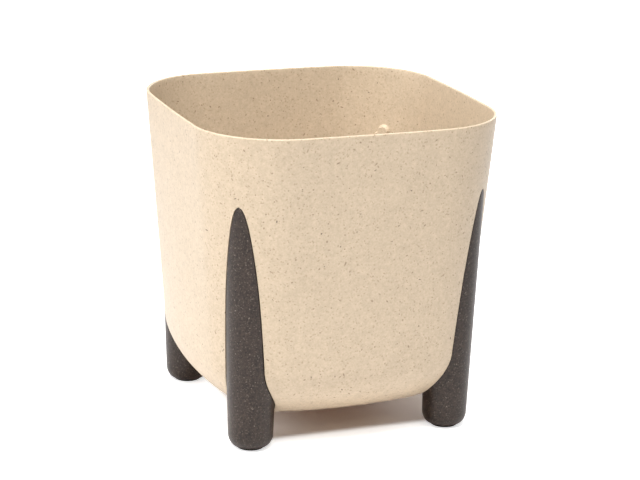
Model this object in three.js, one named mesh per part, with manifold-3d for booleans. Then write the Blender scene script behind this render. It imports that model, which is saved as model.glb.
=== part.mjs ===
// Square planter: a tapered pot with bulged sides and a bowl-shaped bottom, standing on four
// separate legs that are let into its corners. Each leg hangs on one screw that is driven from
// below into a blind boss of the pot, and a dark foot pad closes the screw's counterbore.
// Millimetres, +Z up. The origin is on the floor, under the middle of the pot.

import * as THREE from 'three';
import { mergeVertices } from 'three/addons/utils/BufferGeometryUtils.js';
import Module from 'manifold-3d';

const wasm = await Module();
wasm.setup();

// Pot: outer sizes, read at the rim and where the walls would meet the floor
const OVERALL_HEIGHT = 306.5;
const RIM_WIDTH = 300;
const BASE_WIDTH = 266;
const RIM_CORNER_RADIUS = 80.5;
const BASE_CORNER_RADIUS = 71;
const RIM_SIDE_ARC = 2000;
const BASE_SIDE_ARC = 340;
const WALL = 3;
const RIM_EDGE_RADIUS = 1.2;

// Pot: the bowl that closes it at the bottom
const UNDERSIDE_LIFT = 21;
const BOWL_HEIGHT = 58;
const FLOOR_CORNER_RADIUS = 3.5;

// Legs: round bars that lean out a little and end in a pointed tip at the pot's corner. At the
// floor they stand this far beyond the line of the pot's corner.
const LEG_FOOT_BEYOND_POT = 11.2;
const LEG_FOOT_RADIUS = 21;
const LEG_TOP_RADIUS = 25.8;
const LEG_TAPER_HEIGHT = 160;
const LEG_TIP_BELOW_RIM = 67;
const LEG_WALL = 3.2;
const FOOT_EDGE_WIDTH = 7.5;
const FOOT_EDGE_HEIGHT = 11;
const RIB_THICKNESS = 2.4;
const RIB_SPACING = 38;
const FIRST_RIB_HEIGHT = 86;

// Recess that takes a leg, and the play between pieces
const RECESS_DEPTH = 5;
const RECESS_SHOULDER = 4.5;
const FIT_GAP = 0.4;
const SEAT_GAP = 0.3;

// Screw, its boss in the pot and its post in the leg
const SCREW_RADIUS = 2.4;
const SCREW_HEAD_RADIUS = 4.8;
const SCREW_HEAD_HEIGHT = 3.2;
const SCREW_SLOT_WIDTH = 1.2;
const SCREW_SEAT_HEIGHT = 24;
const SCREW_BITE = 12;
const BOSS_WALL = 3.2;

// Foot pad
const PAD_MARGIN = 0.5;
const PAD_THICKNESS = 1.6;
const PAD_STEM_HEIGHT = 7;
const PAD_STEM_WALL = 1.8;
const PAD_EDGE = 0.4;

// Drain hole and its stopper
const DRAIN_RADIUS = 8;
const STOPPER_FLANGE_WIDTH = 4.5;
const STOPPER_FLANGE_THICKNESS = 2.4;
const STOPPER_BELOW_FLOOR = 2.5;
const STOPPER_NECK_RADIUS = 2;
const STOPPER_KNOB_RADIUS = 4;
const STOPPER_KNOB_HEIGHT = 9;
const STOPPER_EDGE = 0.8;

// How finely the round shapes are divided
const SIDE_STEPS = 6;
const CORNER_STEPS = 8;
const BOWL_STEPS = 6;
const WALL_STEPS = 4;
const LEG_SIDES = 24;
const LEG_RINGS = 5;
const FOOT_STEPS = 4;
const LANCET_STEPS = 11;
const ROUND_SIDES = 16;

// Room that a cutting tool runs past what it cuts, and that a bound keeps from what it doesn't
const OVERRUN = 12;
const BAR_CLEARANCE = 1;

// Points closer than this are one point of a solid
const MERGE_DISTANCE = 1e-4;
const HALVINGS = 40;

// Where the middle point of a rounded rim edge lies, as a share of its radius from the corner
const EDGE_SHARE = 1 - Math.SQRT1_2;

const { lerp, degToRad } = THREE.MathUtils;
const QUARTER_TURN = Math.PI / 2;
const CORNER = QUARTER_TURN / 2;
const CORNERS = {
  front_left: degToRad(225),
  front_right: degToRad(315),
  back_right: degToRad(45),
  back_left: degToRad(135),
};

// The lowest ring of the leg stands on its pad with the usual seat between them
const legBottom = PAD_THICKNESS + SEAT_GAP;
const tipHeight = OVERALL_HEIGHT - LEG_TIP_BELOW_RIM;
const bowlTop = UNDERSIDE_LIFT + BOWL_HEIGHT;
const counterboreRadius = SCREW_HEAD_RADIUS + FIT_GAP;
const screwHoleRadius = SCREW_RADIUS + FIT_GAP;

// Solids: a closed geometry becomes a solid that can be joined and cut, and back again

function solidFrom(geometry) {
  const bare = geometry.clone();
  bare.deleteAttribute('normal');
  bare.deleteAttribute('uv');
  const merged = mergeVertices(bare, MERGE_DISTANCE);
  return new wasm.Manifold(new wasm.Mesh({
    numProp: 3,
    vertProperties: new Float32Array(merged.attributes.position.array),
    triVerts: new Uint32Array(merged.index.array),
  }));
}

function geometryFrom(solid) {
  const mesh = solid.getMesh();
  const geometry = new THREE.BufferGeometry();
  geometry.setAttribute('position', new THREE.BufferAttribute(new Float32Array(mesh.vertProperties), 3));
  geometry.setIndex(new THREE.BufferAttribute(new Uint32Array(mesh.triVerts), 1));
  geometry.computeVertexNormals();
  return geometry;
}

// A body through closed sections that all have the same number of points. A section lists its
// points counter-clockwise as seen from above, and the sections go from the lowest to the highest.
function loft(sections) {
  const count = sections[0].length;
  const index = [];
  for (let level = 0; level + 1 < sections.length; level += 1) {
    for (let i = 0; i < count; i += 1) {
      const next = (i + 1) % count;
      const low = level * count;
      const high = low + count;
      index.push(low + i, low + next, high + next, low + i, high + next, high + i);
    }
  }
  const top = (sections.length - 1) * count;
  for (const [a, b, c] of THREE.ShapeUtils.triangulateShape(sections[0], [])) {
    index.push(a, c, b);
  }
  for (const [a, b, c] of THREE.ShapeUtils.triangulateShape(sections.at(-1), [])) {
    index.push(top + a, top + b, top + c);
  }
  const geometry = new THREE.BufferGeometry().setFromPoints(sections.flat());
  geometry.setIndex(index);
  return geometry;
}

// An upright round rod between two heights, with its axis at x
function rod(radius, low, high, x = 0) {
  const geometry = new THREE.CylinderGeometry(radius, radius, high - low, ROUND_SIDES);
  geometry.rotateX(QUARTER_TURN);
  geometry.translate(x, 0, (low + high) / 2);
  return solidFrom(geometry);
}

function box(sizeX, sizeY, low, high, x = 0) {
  const geometry = new THREE.BoxGeometry(sizeX, sizeY, high - low);
  geometry.translate(x, 0, (low + high) / 2);
  return solidFrom(geometry);
}

// A body of revolution about the upright axis, from a profile listed from the bottom up
function lathe(profile, sides = ROUND_SIDES) {
  const points = profile.map(([radius, height]) => new THREE.Vector2(radius, height));
  const geometry = new THREE.LatheGeometry(points, sides);
  geometry.rotateX(QUARTER_TURN);
  return solidFrom(geometry);
}

function turned(solid, angle) {
  return solid.rotate([0, 0, THREE.MathUtils.radToDeg(angle)]);
}

// Pot section: four bulged sides, each an arc about a centre far behind it, joined by round
// corners. The corner arc's centre lies on the diagonal and its arc meets the side's arc smoothly.
function sectionShape(height) {
  const share = height / OVERALL_HEIGHT;
  const halfWidth = lerp(BASE_WIDTH, RIM_WIDTH, share) / 2;
  const cornerRadius = lerp(BASE_CORNER_RADIUS, RIM_CORNER_RADIUS, share);
  const sideRadius = 1 / lerp(1 / BASE_SIDE_ARC, 1 / RIM_SIDE_ARC, share);
  const back = sideRadius - halfWidth;
  const spread = (sideRadius - cornerRadius) ** 2;
  const cornerCentre = (Math.sqrt(2 * spread - back ** 2) - back) / 2;
  const joinAngle = Math.atan2(cornerCentre, cornerCentre + back);
  return { cornerRadius, sideRadius, back, cornerCentre, joinAngle };
}

function sectionPoints(height, inset) {
  const { cornerRadius, sideRadius, back, cornerCentre, joinAngle } = sectionShape(height);
  const quarterPoints = [];
  for (let i = 0; i < SIDE_STEPS; i += 1) {
    const angle = lerp(-joinAngle, joinAngle, i / SIDE_STEPS);
    const radius = sideRadius - inset;
    const x = radius * Math.cos(angle) - back;
    quarterPoints.push(new THREE.Vector3(x, radius * Math.sin(angle), height));
  }
  for (let i = 0; i < CORNER_STEPS; i += 1) {
    const angle = lerp(joinAngle, QUARTER_TURN - joinAngle, i / CORNER_STEPS);
    const radius = cornerRadius - inset;
    const x = cornerCentre + radius * Math.cos(angle);
    quarterPoints.push(new THREE.Vector3(x, cornerCentre + radius * Math.sin(angle), height));
  }
  const up = new THREE.Vector3(0, 0, 1);
  return [0, 1, 2, 3].flatMap((quarter) => (
    quarterPoints.map((point) => point.clone().applyAxisAngle(up, quarter * QUARTER_TURN))
  ));
}

// The bowl is an elliptical fillet. Its width leaves a small radius at the floor's corners.
const bowlWidth = sectionShape(UNDERSIDE_LIFT).cornerRadius - FLOOR_CORNER_RADIUS;

function bowlInset(height, offset) {
  const rise = BOWL_HEIGHT - offset;
  const below = Math.min(Math.max((bowlTop - height) / rise, 0), 1);
  return (bowlWidth - offset) * (1 - Math.sqrt(1 - below ** 2));
}

// The pot's outer form, or the same form drawn in all round by an offset, as one solid block.
// The block ends at its top in the sections that topSections gives.
function potBlock(offset, topSections) {
  const sections = [];
  for (let i = BOWL_STEPS; i > 0; i -= 1) {
    const angle = QUARTER_TURN * (i / BOWL_STEPS);
    const height = bowlTop - (BOWL_HEIGHT - offset) * Math.sin(angle);
    const inset = (bowlWidth - offset) * (1 - Math.cos(angle));
    sections.push(sectionPoints(height, offset + inset));
  }
  for (let i = 0; i < WALL_STEPS; i += 1) {
    const height = lerp(bowlTop, OVERALL_HEIGHT - RIM_EDGE_RADIUS, i / WALL_STEPS);
    sections.push(sectionPoints(height, offset));
  }
  for (const { below, inset } of topSections) {
    sections.push(sectionPoints(OVERALL_HEIGHT - below, inset));
  }
  return solidFrom(loft(sections));
}

function plainBlock(offset) {
  return potBlock(offset, [{ below: 0, inset: offset }, { below: -OVERRUN, inset: offset }]);
}

// The rim's outer edge is rounded in, and its inner edge is rounded out to match
function outerBlock() {
  const edge = RIM_EDGE_RADIUS * EDGE_SHARE;
  return potBlock(0, [
    { below: RIM_EDGE_RADIUS, inset: 0 },
    { below: edge, inset: edge },
    { below: 0, inset: RIM_EDGE_RADIUS },
  ]);
}

function innerBlock() {
  const edge = RIM_EDGE_RADIUS * EDGE_SHARE;
  return potBlock(WALL, [
    { below: RIM_EDGE_RADIUS, inset: WALL },
    { below: edge, inset: WALL - edge },
    { below: 0, inset: WALL - RIM_EDGE_RADIUS },
    { below: -OVERRUN, inset: WALL - RIM_EDGE_RADIUS },
  ]);
}

// Distance from the pot's axis to the corner of its walls along the diagonal, also where the
// walls would run on below the bowl's top
function wallReach(height) {
  const { cornerRadius, cornerCentre } = sectionShape(height);
  return Math.SQRT2 * cornerCentre + cornerRadius;
}

// The same for the bowl, or for the bowl drawn in by an offset
function bowlReach(height, offset) {
  return wallReach(height) - offset - bowlInset(height, offset);
}

// Height of the bowl above a point of the diagonal
function bowlHeightAt(reach, offset) {
  let low = UNDERSIDE_LIFT + offset;
  let high = bowlTop;
  for (let i = 0; i < HALVINGS; i += 1) {
    const middle = (low + high) / 2;
    if (bowlReach(middle, offset) < reach) low = middle;
    else high = middle;
  }
  return high;
}

// Leg bar, in the leg's own frame: +X points out along the pot's diagonal. Its outer line leans
// from the foot to the pot's corner at the height of the tip.
function legOuter(height) {
  return lerp(wallReach(0) + LEG_FOOT_BEYOND_POT, wallReach(tipHeight), height / tipHeight);
}

function legRadius(height) {
  return lerp(LEG_FOOT_RADIUS, LEG_TOP_RADIUS, Math.min(height / LEG_TAPER_HEIGHT, 1));
}

function legCentre(height) {
  return legOuter(height) - legRadius(height);
}

function legCircle(height, margin) {
  const radius = legRadius(height) + margin;
  return Array.from({ length: LEG_SIDES }, (_, i) => {
    const angle = (2 * Math.PI * i) / LEG_SIDES;
    return new THREE.Vector3(
      legCentre(height) + radius * Math.cos(angle),
      radius * Math.sin(angle),
      height,
    );
  });
}

function legCircles(margin, start) {
  return Array.from({ length: LEG_RINGS + 1 }, (_, i) => (
    legCircle(lerp(start, tipHeight + OVERRUN, i / LEG_RINGS), margin)
  ));
}

// The bar grown by a margin, or thinned by a negative one, from a given height up
function legBar(margin, start) {
  return solidFrom(loft(legCircles(margin, start)));
}

// The bar as it is moulded, with the edge of its foot rounded
function legBarWithFoot() {
  const foot = [];
  for (let i = 0; i < FOOT_STEPS; i += 1) {
    const angle = QUARTER_TURN * (1 - i / FOOT_STEPS);
    const height = legBottom + FOOT_EDGE_HEIGHT * (1 - Math.sin(angle));
    foot.push(legCircle(height, -FOOT_EDGE_WIDTH * (1 - Math.cos(angle))));
  }
  return solidFrom(loft([...foot, ...legCircles(0, legBottom + FOOT_EDGE_HEIGHT)]));
}

// Half the width of the leg's visible face: where its round section comes out of the pot's
// corner. Below the corner, where the bar is clear of the pot, only the bar itself bounds it.
function lancetHalfWidth(height) {
  const { cornerRadius, cornerCentre } = sectionShape(height);
  const arcRadius = cornerRadius - bowlInset(height, 0);
  const between = legCentre(height) - Math.SQRT2 * cornerCentre;
  const chord = (between ** 2 + arcRadius ** 2 - legRadius(height) ** 2) / (2 * between);
  if (chord < between) return legRadius(height) + BAR_CLEARANCE;
  return Math.sqrt(Math.max(arcRadius ** 2 - chord ** 2, 0));
}

// Outline of that face as a closed pointed arch, widened or narrowed by a margin
function lancetOutline(margin) {
  const side = [];
  for (let i = LANCET_STEPS; i >= 0; i -= 1) {
    const height = lerp(tipHeight, UNDERSIDE_LIFT, (i / LANCET_STEPS) ** 2);
    const half = lancetHalfWidth(height) + margin;
    if (half > Math.abs(margin) / 2) side.push(new THREE.Vector2(half, height));
  }
  side.unshift(new THREE.Vector2(side[0].x, -OVERRUN));
  if (margin > 0) side.push(new THREE.Vector2(margin / 2, tipHeight + margin));
  const mirrored = side.map((point) => new THREE.Vector2(-point.x, point.y)).reverse();
  return [...side, ...mirrored];
}

// A block with that outline, given by its margin at some depths below the pot's corner
function lancetBlock(layers) {
  const sections = layers.map(({ margin, depth }) => (
    lancetOutline(margin).map(({ x, y }) => {
      const skin = wallReach(Math.max(y, bowlTop));
      return new THREE.Vector3(x, y, skin - depth);
    })
  ));
  const geometry = loft(sections);
  const across = new THREE.Vector3(0, 1, 0);
  const up = new THREE.Vector3(0, 0, 1);
  const out = new THREE.Vector3(1, 0, 0);
  geometry.applyMatrix4(new THREE.Matrix4().makeBasis(across, up, out));
  return solidFrom(geometry);
}

// Depth behind the pot's corner at which a block is well past the bar, and the distance beyond
// the corner at which it is past the bar's outer side
const farIn = 3 * LEG_TOP_RADIUS;
const farOut = LEG_FOOT_BEYOND_POT + 2 * OVERRUN;

function straightLancet(margin) {
  return lancetBlock([{ margin, depth: farIn }, { margin, depth: -farOut }]);
}

// The recess that the pot's corner has for a leg: what is cut away, and the wall that lines it
// on the inside of the pot, whose edge slopes out to the pot's inner face
function recessCut(depth) {
  return legBar(FIT_GAP, 0).intersect(straightLancet(FIT_GAP)).subtract(turned(depth, -CORNER));
}

function recessLining(pot, inside) {
  const narrow = FIT_GAP + WALL;
  const wide = narrow + RECESS_SHOULDER;
  const block = lancetBlock([
    { margin: narrow, depth: farIn },
    { margin: narrow, depth: RECESS_DEPTH + WALL },
    { margin: wide, depth: WALL },
    { margin: wide, depth: -farOut },
  ]);
  return legBar(wide, 0)
    .intersect(block)
    .intersect(turned(pot, -CORNER))
    .subtract(turned(inside, -CORNER));
}

// Screw line of a leg, and the heights that the pot's blind boss takes from it
const screwReach = legCentre(SCREW_SEAT_HEIGHT);
const recessCeiling = bowlHeightAt(screwReach, RECESS_DEPTH);
const screwTip = recessCeiling + SCREW_BITE;
const bossHoleTop = screwTip + SEAT_GAP;
const bossTop = bossHoleTop + WALL;

function makePot() {
  const outer = outerBlock();
  const recessFloor = plainBlock(RECESS_DEPTH);
  const liningFace = plainBlock(RECESS_DEPTH + WALL);
  let pot = outer.subtract(innerBlock());
  const lining = recessLining(outer, liningFace);
  const cut = recessCut(recessFloor);
  const boss = rod(screwHoleRadius + BOSS_WALL, recessCeiling, bossTop, screwReach);
  const bossHole = rod(screwHoleRadius, 0, bossHoleTop, screwReach);
  for (const angle of Object.values(CORNERS)) {
    pot = pot.add(turned(lining, angle)).add(turned(boss, angle));
    pot = pot.subtract(turned(cut, angle)).subtract(turned(bossHole, angle));
  }
  return geometryFrom(pot.subtract(rod(DRAIN_RADIUS, 0, UNDERSIDE_LIFT + WALL + OVERRUN)));
}

// Leg: a hollow moulding that is open towards the pot. Cross ribs stiffen its back, and a post
// over the foot carries the screw.
function makeLeg() {
  const back = turned(plainBlock(RECESS_DEPTH - FIT_GAP), -CORNER);
  const body = legBarWithFoot().intersect(straightLancet(0)).subtract(back);
  const floor = legBottom + LEG_WALL;
  const acrossBar = 2 * LEG_TOP_RADIUS + OVERRUN;
  let hollow = legBar(-LEG_WALL, floor).intersect(straightLancet(-LEG_WALL));
  for (let height = FIRST_RIB_HEIGHT; height < tipHeight; height += RIB_SPACING) {
    hollow = hollow.subtract(box(acrossBar, acrossBar, height, height + RIB_THICKNESS, legCentre(height)));
  }
  hollow = hollow
    .subtract(rod(counterboreRadius + LEG_WALL, 0, bowlTop, screwReach))
    .subtract(box(acrossBar, RIB_THICKNESS, 0, bowlTop, screwReach))
    .subtract(box(RIB_THICKNESS, acrossBar, 0, bowlTop, screwReach));
  const leg = body
    .subtract(hollow)
    .subtract(rod(counterboreRadius, 0, SCREW_SEAT_HEIGHT, screwReach))
    .subtract(rod(screwHoleRadius, 0, bowlTop, screwReach));
  return geometryFrom(leg);
}

// Screw: pan head with a cross slot, seen from below, and a plain shank into the pot's boss
function makeScrew() {
  const seat = SCREW_SEAT_HEIGHT - SEAT_GAP;
  const headBottom = seat - SCREW_HEAD_HEIGHT;
  const slotTop = headBottom + SCREW_HEAD_HEIGHT / 2;
  const slotLength = SCREW_HEAD_RADIUS;
  const screw = lathe([
    [0, headBottom],
    [SCREW_HEAD_RADIUS / 2, headBottom],
    [SCREW_HEAD_RADIUS, slotTop],
    [SCREW_HEAD_RADIUS, seat],
    [SCREW_RADIUS, seat],
    [SCREW_RADIUS, screwTip - 2 * SCREW_RADIUS],
    [0, screwTip],
  ])
    .subtract(box(slotLength, SCREW_SLOT_WIDTH, 0, slotTop))
    .subtract(box(SCREW_SLOT_WIDTH, slotLength, 0, slotTop));
  return geometryFrom(screw.translate([screwReach, 0, 0]));
}

// Foot pad: a thin disc under the leg with a hollow stem that is pressed into the counterbore
function makeFootPad() {
  const radius = LEG_FOOT_RADIUS - FOOT_EDGE_WIDTH - PAD_MARGIN;
  const stem = counterboreRadius - SEAT_GAP;
  const stemTop = PAD_THICKNESS + PAD_STEM_HEIGHT;
  const pad = lathe([
    [0, 0],
    [radius - PAD_EDGE, 0],
    [radius, PAD_EDGE],
    [radius, PAD_THICKNESS],
    [stem, PAD_THICKNESS],
    [stem, stemTop - PAD_EDGE],
    [stem - PAD_EDGE, stemTop],
    [stem - PAD_STEM_WALL, stemTop],
    [stem - PAD_STEM_WALL, PAD_THICKNESS],
    [0, PAD_THICKNESS],
  ]);
  return geometryFrom(pad.translate([screwReach, 0, 0]));
}

// Drain stopper: a soft plug with a flange on the inside floor and a knob to pull it by
function makeStopper() {
  const plug = DRAIN_RADIUS - FIT_GAP;
  const bottom = UNDERSIDE_LIFT - STOPPER_BELOW_FLOOR;
  const flangeBottom = UNDERSIDE_LIFT + WALL + SEAT_GAP;
  const flangeTop = flangeBottom + STOPPER_FLANGE_THICKNESS;
  const flange = DRAIN_RADIUS + STOPPER_FLANGE_WIDTH;
  const knobTop = flangeTop + STOPPER_KNOB_HEIGHT;
  return geometryFrom(lathe([
    [0, bottom],
    [plug - STOPPER_EDGE, bottom],
    [plug, bottom + STOPPER_EDGE],
    [plug, flangeBottom],
    [flange, flangeBottom],
    [flange, flangeTop - STOPPER_EDGE],
    [flange - STOPPER_EDGE, flangeTop],
    [STOPPER_NECK_RADIUS, flangeTop],
    [STOPPER_NECK_RADIUS, lerp(flangeTop, knobTop, 1 / 2)],
    [STOPPER_KNOB_RADIUS, lerp(flangeTop, knobTop, 2 / 3)],
    [STOPPER_KNOB_RADIUS, knobTop - STOPPER_EDGE],
    [STOPPER_KNOB_RADIUS - STOPPER_EDGE, knobTop],
    [0, knobTop],
  ]));
}

// Finishes: pale speckled composite, its dark version, black rubber and zinc-plated steel
const creamComposite = new THREE.MeshStandardMaterial({ color: 0xdcc8a8, roughness: 0.55, metalness: 0 });
const darkComposite = new THREE.MeshStandardMaterial({ color: 0x554d48, roughness: 0.6, metalness: 0 });
const blackRubber = new THREE.MeshStandardMaterial({ color: 0x1c1b1a, roughness: 0.8, metalness: 0 });
const zincSteel = new THREE.MeshStandardMaterial({ color: 0xb8bcc0, roughness: 0.35, metalness: 1 });

function piece(name, geometry, material, angle = 0) {
  const mesh = new THREE.Mesh(geometry, material);
  mesh.name = name;
  mesh.rotation.z = angle;
  return mesh;
}

const planter = new THREE.Group();
planter.add(piece('pot', makePot(), creamComposite));
planter.add(piece('drain_stopper', makeStopper(), blackRubber));

const leg = makeLeg();
const screw = makeScrew();
const footPad = makeFootPad();
for (const [corner, angle] of Object.entries(CORNERS)) {
  planter.add(piece(`leg_${corner}`, leg, darkComposite, angle));
  planter.add(piece(`leg_screw_${corner}`, screw, zincSteel, angle));
  planter.add(piece(`foot_pad_${corner}`, footPad, blackRubber, angle));
}

export default planter;
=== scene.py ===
# Square planter of speckled bio-composite: a tapered pot with bulged sides and a bowl-shaped
# bottom, on four dark legs that are let into its corners. Metres, +Z up, origin on the floor.

import math
from types import SimpleNamespace

import bmesh
import bpy
from mathutils import Matrix, Quaternion, Vector


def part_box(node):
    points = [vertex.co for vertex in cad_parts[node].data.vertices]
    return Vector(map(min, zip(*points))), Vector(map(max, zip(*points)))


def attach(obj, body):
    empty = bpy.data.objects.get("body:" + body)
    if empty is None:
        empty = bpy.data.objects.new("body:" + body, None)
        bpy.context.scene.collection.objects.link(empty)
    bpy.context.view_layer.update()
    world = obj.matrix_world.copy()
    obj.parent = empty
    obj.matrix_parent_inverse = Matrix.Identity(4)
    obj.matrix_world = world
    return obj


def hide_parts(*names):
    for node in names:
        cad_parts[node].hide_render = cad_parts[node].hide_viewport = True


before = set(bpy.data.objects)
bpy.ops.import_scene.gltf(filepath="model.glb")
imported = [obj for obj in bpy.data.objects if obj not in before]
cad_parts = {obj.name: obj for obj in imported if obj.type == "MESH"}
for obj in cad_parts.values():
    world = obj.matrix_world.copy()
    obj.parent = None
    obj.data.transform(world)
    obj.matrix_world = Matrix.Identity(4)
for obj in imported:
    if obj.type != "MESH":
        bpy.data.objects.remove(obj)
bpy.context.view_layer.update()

# Camera: a long lens a little above the rim, turned so that the left side shows narrow beside
# the front. It looks at a point inside the pot, just behind its middle.
CAMERA_TURN = math.radians(-21.04)
CAMERA_ELEVATION = math.radians(16.23)
CAMERA_ROLL = math.radians(1.23)
CAMERA_DISTANCE = 2.152
CAMERA_AIM = Vector((0.0202, 0.0404, 0.1529))
FOCAL_LENGTH = 120.94
SENSOR_WIDTH = 36

camera_data = bpy.data.cameras.new("camera")
camera_data.lens = FOCAL_LENGTH
camera_data.sensor_width = SENSOR_WIDTH
camera = bpy.data.objects.new("camera", camera_data)
camera_back = Vector((
    math.sin(CAMERA_TURN) * math.cos(CAMERA_ELEVATION),
    -math.cos(CAMERA_TURN) * math.cos(CAMERA_ELEVATION),
    math.sin(CAMERA_ELEVATION),
))
camera.location = CAMERA_AIM + camera_back * CAMERA_DISTANCE
camera.rotation_mode = "QUATERNION"
level_view = (-camera_back).to_track_quat("-Z", "Y")
camera.rotation_quaternion = level_view @ Quaternion((0, 0, 1), CAMERA_ROLL)
bpy.context.scene.collection.objects.link(camera)
bpy.context.scene.camera = camera


# Studio: a white floor under a strong overhead softbox, softer lights on the left that make the
# left side the brightest, two behind for the rim of light on the right, and a white backdrop.
# Only the camera sees a painted white glow on the floor that hides its shadows, all but a painted shadow
# square under the pot with a faint warm tint.
FLOOR_SIZE = 8
FLOOR_COLOUR = (0.95, 0.95, 0.95, 1)
FLOOR_ROUGHNESS = 0.9
# Painted light on the floor, seen by the camera alone: white outside the painted shadow square, a faint
# warm tint inside it, and the square's middle, half width and soft edge
PAINTED_FLOOR_WHITE = (0.65, 0.65, 0.65, 1)
PAINTED_SHADOW_TINT = (0.028, 0.006, 0, 1)
SHADE_MIDDLE = (0.0205, 0.0095, 0)
SHADE_HALF_WIDTH = 0.099
SHADE_EDGE = 0.007
SKY_STRENGTH = 0.44
BACKDROP_STRENGTH = 0.6
LIGHTS = {
    "overhead_light": {"place": (-0.3, -0.6, 2.2), "size": 1.2, "power": 78},
    "left_light": {"place": (-2.2, -0.2, 0.9), "size": 1.0, "power": 8.5},
    "left_high_light": {"place": (-1.8, -0.3, 1.8), "size": 1.0, "power": 12.8},
    "left_back_light": {"place": (-1.8, 1.3, 0.8), "size": 0.8, "power": 9.5},
    "right_back_light": {"place": (1.6, 1.5, 0.8), "size": 0.8, "power": 10.0},
}
LIGHT_AIM = Vector((0, 0, 0.12))
UP = (0, 0, 1)
LEVEL_VIEW = (-math.sin(CAMERA_TURN), math.cos(CAMERA_TURN), 0)


class Field:
    """A number that a tree of nodes works out for each point. Arithmetic on it adds Math nodes."""

    def __init__(self, socket):
        self.socket = socket

    def __add__(self, other):
        return worked_out("ADD", self, other)

    def __radd__(self, other):
        return worked_out("ADD", other, self)

    def __sub__(self, other):
        return worked_out("SUBTRACT", self, other)

    def __rsub__(self, other):
        return worked_out("SUBTRACT", other, self)

    def __mul__(self, other):
        return worked_out("MULTIPLY", self, other)

    def __rmul__(self, other):
        return worked_out("MULTIPLY", other, self)

    def __truediv__(self, other):
        return worked_out("DIVIDE", self, other)

    def __rtruediv__(self, other):
        return worked_out("DIVIDE", other, self)


def fill(entry, value):
    """Links a node's input to a field or a socket, or sets it to a plain value."""
    if isinstance(value, Field):
        value = value.socket
    if isinstance(value, bpy.types.NodeSocket):
        entry.id_data.links.new(value, entry)
    else:
        entry.default_value = value


def add_node(tree, kind, inputs=None, **settings):
    """Adds a node with its settings, and fills its inputs, which go by name or number."""
    node = tree.nodes.new(kind)
    for name, value in settings.items():
        setattr(node, name, value)
    for key, value in (inputs or {}).items():
        fill(node.inputs[key], value)
    return node


def worked_out(operation, *values):
    """The result of one Math node, whose inputs are fields or plain numbers."""
    tree = next(value.socket.id_data for value in values if isinstance(value, Field))
    node = add_node(tree, "ShaderNodeMath", dict(enumerate(values)), operation=operation)
    return Field(node.outputs[0])


def either_kind(operation, plain):
    """A function that takes fields, where it adds a Math node, and also plain numbers."""
    def function(*values):
        if any(isinstance(value, Field) for value in values):
            return worked_out(operation, *values)
        return plain(*values)
    return function


larger = either_kind("MAXIMUM", max)
smaller = either_kind("MINIMUM", min)


def clamp(value):
    return smaller(larger(value, 0), 1)


def vector_math(tree, operation, *values):
    """The outputs of one Vector Math node, whose inputs are sockets or plain vectors."""
    return add_node(tree, "ShaderNodeVectorMath", dict(enumerate(values)), operation=operation).outputs


def mixed_colour(tree, share, first, second):
    """A colour between two colours, where share may be a field or a plain number."""
    node = add_node(tree, "ShaderNodeMix", data_type="RGBA")
    ends = {"Factor_Float": share, "A_Color": first, "B_Color": second}
    for entry in node.inputs:
        if entry.identifier in ends:
            fill(entry, ends[entry.identifier])
    return next(result for result in node.outputs if result.identifier == "Result_Color")


bpy.ops.mesh.primitive_plane_add(size=FLOOR_SIZE)
floor = bpy.context.object
floor.name = "floor"
floor_material = bpy.data.materials.new("studio_floor")
floor_material.use_nodes = True
floor_tree = floor_material.node_tree
floor_shader = floor_tree.nodes["Principled BSDF"]
floor_shader.inputs["Base Color"].default_value = FLOOR_COLOUR
floor_shader.inputs["Roughness"].default_value = FLOOR_ROUGHNESS
floor_shader.inputs["Emission Strength"].default_value = 1
floor.data.materials.append(floor_material)

# How far a place on the floor lies from the painted shadow square's middle, the same all along a square
floor_place = floor_tree.nodes.new("ShaderNodeTexCoord").outputs["Object"]
from_middle = vector_math(floor_tree, "SUBTRACT", floor_place, SHADE_MIDDLE)["Vector"]
both_ways = vector_math(floor_tree, "ABSOLUTE", from_middle)["Vector"]
each_way = add_node(floor_tree, "ShaderNodeSeparateXYZ", {"Vector": both_ways}).outputs
outside_shade = add_node(floor_tree, "ShaderNodeMapRange", {
    "Value": larger(Field(each_way["X"]), Field(each_way["Y"])),
    "From Min": SHADE_HALF_WIDTH - SHADE_EDGE,
    "From Max": SHADE_HALF_WIDTH + SHADE_EDGE,
}, interpolation_type="SMOOTHSTEP")
# Painted light: only camera rays see the white glow outside the square and the warm tint of the painted
# shadow inside it
floor_seen = Field(floor_tree.nodes.new("ShaderNodeLightPath").outputs["Is Camera Ray"])
painted_light_share = Field(outside_shade.outputs["Result"]) * floor_seen
painted_floor_light = mixed_colour(floor_tree, painted_light_share, PAINTED_SHADOW_TINT, PAINTED_FLOOR_WHITE)
fill(floor_shader.inputs["Emission Color"], painted_floor_light)

for light_name, light in LIGHTS.items():
    lamp_data = bpy.data.lights.new(light_name, "AREA")
    lamp_data.shape = "DISK"
    lamp_data.size = light["size"]
    lamp_data.energy = light["power"]
    lamp = bpy.data.objects.new(light_name, lamp_data)
    lamp.location = light["place"]
    lamp.rotation_mode = "QUATERNION"
    lamp.rotation_quaternion = (LIGHT_AIM - lamp.location).to_track_quat("-Z", "Y")
    bpy.context.scene.collection.objects.link(lamp)

# The surround is brightest overhead and behind the pot, and plain white where it is seen
world = bpy.data.worlds.new("surround")
world.use_nodes = True
world_tree = world.node_tree
surround = world_tree.nodes["Background"]
surround.inputs["Color"].default_value = (1, 1, 1, 1)
way_out = world_tree.nodes.new("ShaderNodeTexCoord").outputs["Generated"]
world_seen = Field(world_tree.nodes.new("ShaderNodeLightPath").outputs["Is Camera Ray"])


def glow_from(way, most):
    """A glow that is strongest this way out and fades to nothing at a right angle to it."""
    facing = Field(vector_math(world_tree, "DOT_PRODUCT", way_out, way)["Value"])
    return clamp(facing) * most


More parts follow.
